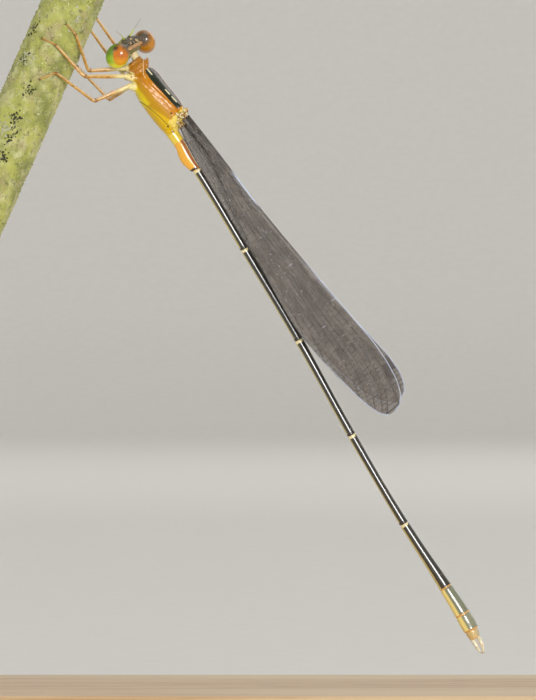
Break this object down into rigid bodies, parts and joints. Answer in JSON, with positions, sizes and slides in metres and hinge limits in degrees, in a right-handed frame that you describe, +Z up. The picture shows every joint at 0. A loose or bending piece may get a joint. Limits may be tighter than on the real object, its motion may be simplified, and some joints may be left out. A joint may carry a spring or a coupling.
{
  "type": "damselfly",
  "caption": "Life-size still model of a slender damselfly with closed wings, clinging to a short mossy stem that a plain display stand holds up.",
  "frame": {"origin": "middle of the stand base's underside", "axes": "+Z up, +X towards the hanging end of the abdomen, -Y the insect's left side"},
  "size_m": [0.048, 0.027, 0.0516],
  "materials": {
    "head_cuticle": "dark, slightly shiny cuticle with pale specks",
    "mouthparts": "pale cream cuticle",
    "eye": "faceted, orange above and green below, glossy",
    "thorax_cuticle": "orange-brown and yellow cuticle with a dark metallic band",
    "leg_cuticle": "thin light brown cuticle",
    "abdomen_cuticle": "dark cuticle with pale rings and a pale underside",
    "clasper_cuticle": "translucent tan cuticle",
    "wing": "thin smoky membrane with raised dark veins",
    "stem_bark": "rough bark with moss and lichen",
    "base_wood": "clear-lacquered pale hardwood",
    "rod_steel": "fine-brushed"
  },
  "bodies": {
    "root": {"head": "head_cuticle", "neck": "mouthparts", "eye_left": "eye", "eye_right": "eye", "antenna_left": "head_cuticle", "antenna_right": "head_cuticle", "prothorax": "thorax_cuticle", "thorax": "thorax_cuticle", "forewing_left": "wing", "forewing_right": "wing", "hindwing_left": "wing", "hindwing_right": "wing", "leg_fore_left_femur": "leg_cuticle", "leg_fore_left_tibia": "leg_cuticle", "leg_fore_left_tarsus": "leg_cuticle", "leg_fore_right_femur": "leg_cuticle", "leg_fore_right_tibia": "leg_cuticle", "leg_fore_right_tarsus": "leg_cuticle", "leg_middle_left_femur": "leg_cuticle", "leg_middle_left_tibia": "leg_cuticle", "leg_middle_left_tarsus": "leg_cuticle", "leg_middle_right_femur": "leg_cuticle", "leg_middle_right_tibia": "leg_cuticle", "leg_middle_right_tarsus": "leg_cuticle", "leg_hind_left_femur": "leg_cuticle", "leg_hind_left_tibia": "leg_cuticle", "leg_hind_left_tarsus": "leg_cuticle", "leg_hind_right_femur": "leg_cuticle", "leg_hind_right_tibia": "leg_cuticle", "leg_hind_right_tarsus": "leg_cuticle", "abdomen_1": "abdomen_cuticle", "abdomen_2": "abdomen_cuticle", "abdomen_3": "abdomen_cuticle", "abdomen_4": "abdomen_cuticle", "abdomen_5": "abdomen_cuticle", "abdomen_6": "abdomen_cuticle", "abdomen_7": "abdomen_cuticle", "abdomen_8": "abdomen_cuticle", "abdomen_9": "abdomen_cuticle", "abdomen_10": "abdomen_cuticle", "cerci": "clasper_cuticle", "paraprocts": "clasper_cuticle", "perch_stem": "stem_bark", "stand_base": "base_wood", "stand_rod": "rod_steel"}
  },
  "joints": []
}
